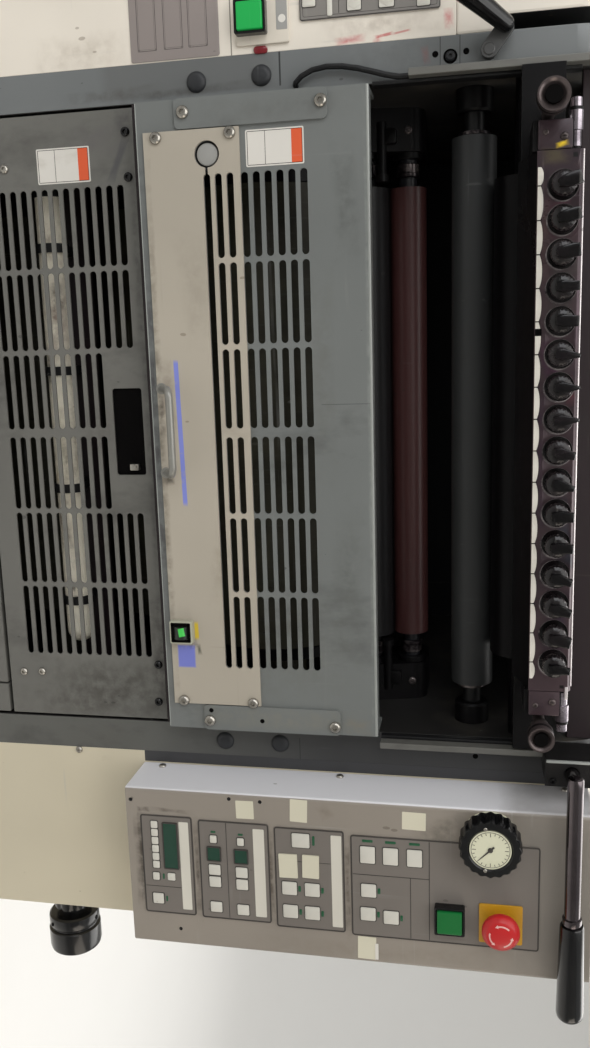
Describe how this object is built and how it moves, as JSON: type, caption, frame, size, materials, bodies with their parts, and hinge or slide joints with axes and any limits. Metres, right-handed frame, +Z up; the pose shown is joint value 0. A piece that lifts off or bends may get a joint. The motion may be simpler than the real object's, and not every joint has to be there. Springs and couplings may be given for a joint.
{
  "type": "offset press printing unit",
  "caption": "Free-standing printing unit of a sheet-fed offset press, with slotted guards, ink fountain, rollers, a control box and levers.",
  "frame": {"origin": "centre of the four anchor holes, on the floor", "axes": "+X to the right of someone at the front, +Y from the front to the back, +Z up"},
  "size_m": [1.272, 1.082, 1.54],
  "materials": {
    "frame_paint": "satin grey enamel",
    "cover_paint": "satin grey enamel",
    "cream_paint": "satin cream enamel",
    "white_paint": "satin white enamel",
    "box_paint": "satin warm grey enamel",
    "dark_steel": "oily dark iron",
    "cylinder_steel": "ground steel",
    "fountain_steel": "ink-stained steel",
    "bright_steel": "plated",
    "black_rubber": "matt ink rubber",
    "red_rubber": "matt ink rubber",
    "black_plastic": "moulded black",
    "membrane": "printed film",
    "key_white": "white key film",
    "pipe_cream": "dirty cream enamel",
    "red_plastic": "moulded red",
    "yellow_plastic": "moulded yellow",
    "green_plastic": "moulded green",
    "dial_white": "printed dial"
  },
  "bodies": {
    "unit": {"anchor_plates": "dark_steel", "bed_frame": "frame_paint", "left_side_frame": "frame_paint", "right_side_frame": "frame_paint", "tie_bars": "dark_steel", "inner_bulkhead": "dark_steel", "cover_ledges": "dark_steel", "base_cover": "cover_paint", "lower_cover": "cover_paint", "cover_latch": "dark_steel", "blower_pipe": "pipe_cream", "pipe_clips": "black_rubber", "top_cover": "cover_paint", "back_covers": "cover_paint", "roller_brackets": "dark_steel", "fountain_block": "fountain_steel", "fountain_cheeks": "fountain_steel", "fountain_scale": "white_paint", "ink_keys": "black_plastic", "opening_rails": "cover_paint", "sensor_cable": "black_rubber", "right_side_cover": "cream_paint", "control_box": "box_paint", "membranes": "membrane", "panel_keys": "key_white", "dial_face": "dial_white", "stop_plate": "yellow_plastic", "run_bezels": "black_plastic", "lever_bracket": "dark_steel", "left_side_cover": "cream_paint", "left_upper_cover": "white_paint", "left_panel": "membrane"},
    "guard": {"guard_cover": "cover_paint", "guard_band": "cream_paint", "guard_handle": "bright_steel", "switch_bezel": "key_white"},
    "rocker": {"switch_rocker": "green_plastic"},
    "plate_rotor": {"plate_cylinder": "cylinder_steel"},
    "blanket_rotor": {"blanket_cylinder": "cylinder_steel"},
    "impression_rotor": {"impression_cylinder": "cylinder_steel"},
    "form_rotor": {"form_roller": "black_rubber"},
    "red_rotor": {"red_roller": "red_rubber"},
    "upper_rotor": {"upper_roller": "black_rubber"},
    "fountain_rotor": {"fountain_roller": "dark_steel"},
    "left_knob": {"left_fountain_knob": "bright_steel"},
    "right_knob": {"right_fountain_knob": "bright_steel"},
    "dial": {"dial_wheel": "black_plastic"},
    "stop": {"stop_button": "red_plastic"},
    "right_run": {"right_run_button": "green_plastic"},
    "left_run": {"left_run_button": "green_plastic"},
    "lever": {"lever_arm": "bright_steel", "lever_grip": "black_plastic"},
    "knob": {"hand_knob": "black_plastic"},
    "left_arm": {"left_lever": "dark_steel", "left_lever_grip": "black_plastic"}
  },
  "joints": [
    {"name": "guard_swing", "type": "hinge", "parent": "unit", "child": "guard", "pos_m": [0, -0.438, 1.278], "axis": [-1, 0, 0], "range_deg": [0, 90]},
    {"name": "guard_switch", "type": "hinge", "parent": "guard", "child": "rocker", "pos_m": [0.219, -0.482, 1.075], "axis": [-1, 0, 0], "range_deg": [0, 14]},
    {"name": "plate_spin", "type": "hinge", "parent": "unit", "child": "plate_rotor", "pos_m": [0, -0.305, 1.15], "axis": [1, 0, 0], "continuous": true},
    {"name": "blanket_spin", "type": "hinge", "parent": "unit", "child": "blanket_rotor", "pos_m": [0, -0.18446, 0.99003], "axis": [1, 0, 0], "continuous": true},
    {"name": "impression_spin", "type": "hinge", "parent": "unit", "child": "impression_rotor", "pos_m": [0, -0.17048, 0.79022], "axis": [1, 0, 0], "continuous": true},
    {"name": "form_spin", "type": "hinge", "parent": "unit", "child": "form_rotor", "pos_m": [0, -0.33531, 1.27158], "axis": [1, 0, 0], "continuous": true},
    {"name": "red_spin", "type": "hinge", "parent": "unit", "child": "red_rotor", "pos_m": [0, -0.32579, 1.31638], "axis": [1, 0, 0], "continuous": true},
    {"name": "upper_spin", "type": "hinge", "parent": "unit", "child": "upper_rotor", "pos_m": [0, -0.397, 1.39], "axis": [1, 0, 0], "continuous": true},
    {"name": "fountain_spin", "type": "hinge", "parent": "unit", "child": "fountain_rotor", "pos_m": [0, -0.428, 1.442], "axis": [1, 0, 0], "continuous": true},
    {"name": "left_fountain_screw", "type": "hinge", "parent": "unit", "child": "left_knob", "pos_m": [-0.292, -0.535, 1.458], "axis": [0, 1, 0], "continuous": true},
    {"name": "right_fountain_screw", "type": "hinge", "parent": "unit", "child": "right_knob", "pos_m": [0.292, -0.535, 1.458], "axis": [0, 1, 0], "continuous": true},
    {"name": "dial_turn", "type": "hinge", "parent": "unit", "child": "dial", "pos_m": [0.419, -0.538, 1.411], "axis": [0, 1, 0], "continuous": true},
    {"name": "stop_press", "type": "slide", "parent": "unit", "child": "stop", "axis": [0, 1, 0], "range_m": [0, 0.004]},
    {"name": "right_run_press", "type": "slide", "parent": "unit", "child": "right_run", "axis": [0, 1, 0], "range_m": [0, 0.002], "stiffness_N_per_m": 600, "springref_m": -0.002},
    {"name": "left_run_press", "type": "slide", "parent": "unit", "child": "left_run", "axis": [0, 1, 0], "range_m": [0, 0.002], "stiffness_N_per_m": 600, "springref_m": -0.002},
    {"name": "lever_swing", "type": "hinge", "parent": "unit", "child": "lever", "pos_m": [0.353, -0.538, 1.493], "axis": [0, -1, 0], "range_deg": [0, 60]},
    {"name": "hand_knob_turn", "type": "hinge", "parent": "unit", "child": "knob", "pos_m": [0.64, -0.395, 0.876], "axis": [1, 0, 0], "continuous": true},
    {"name": "left_lever_swing", "type": "hinge", "parent": "unit", "child": "left_arm", "pos_m": [-0.358, -0.46, 1.404], "axis": [0, 1, 0], "range_deg": [0, 30]}
  ],
  "couplings": [
    {"joint": "blanket_spin", "follows": "plate_spin", "ratio": -1},
    {"joint": "impression_spin", "follows": "plate_spin", "ratio": 1},
    {"joint": "form_spin", "follows": "plate_spin", "ratio": -4},
    {"joint": "red_spin", "follows": "plate_spin", "ratio": 4.878},
    {"joint": "upper_spin", "follows": "plate_spin", "ratio": -4.3478}
  ]
}
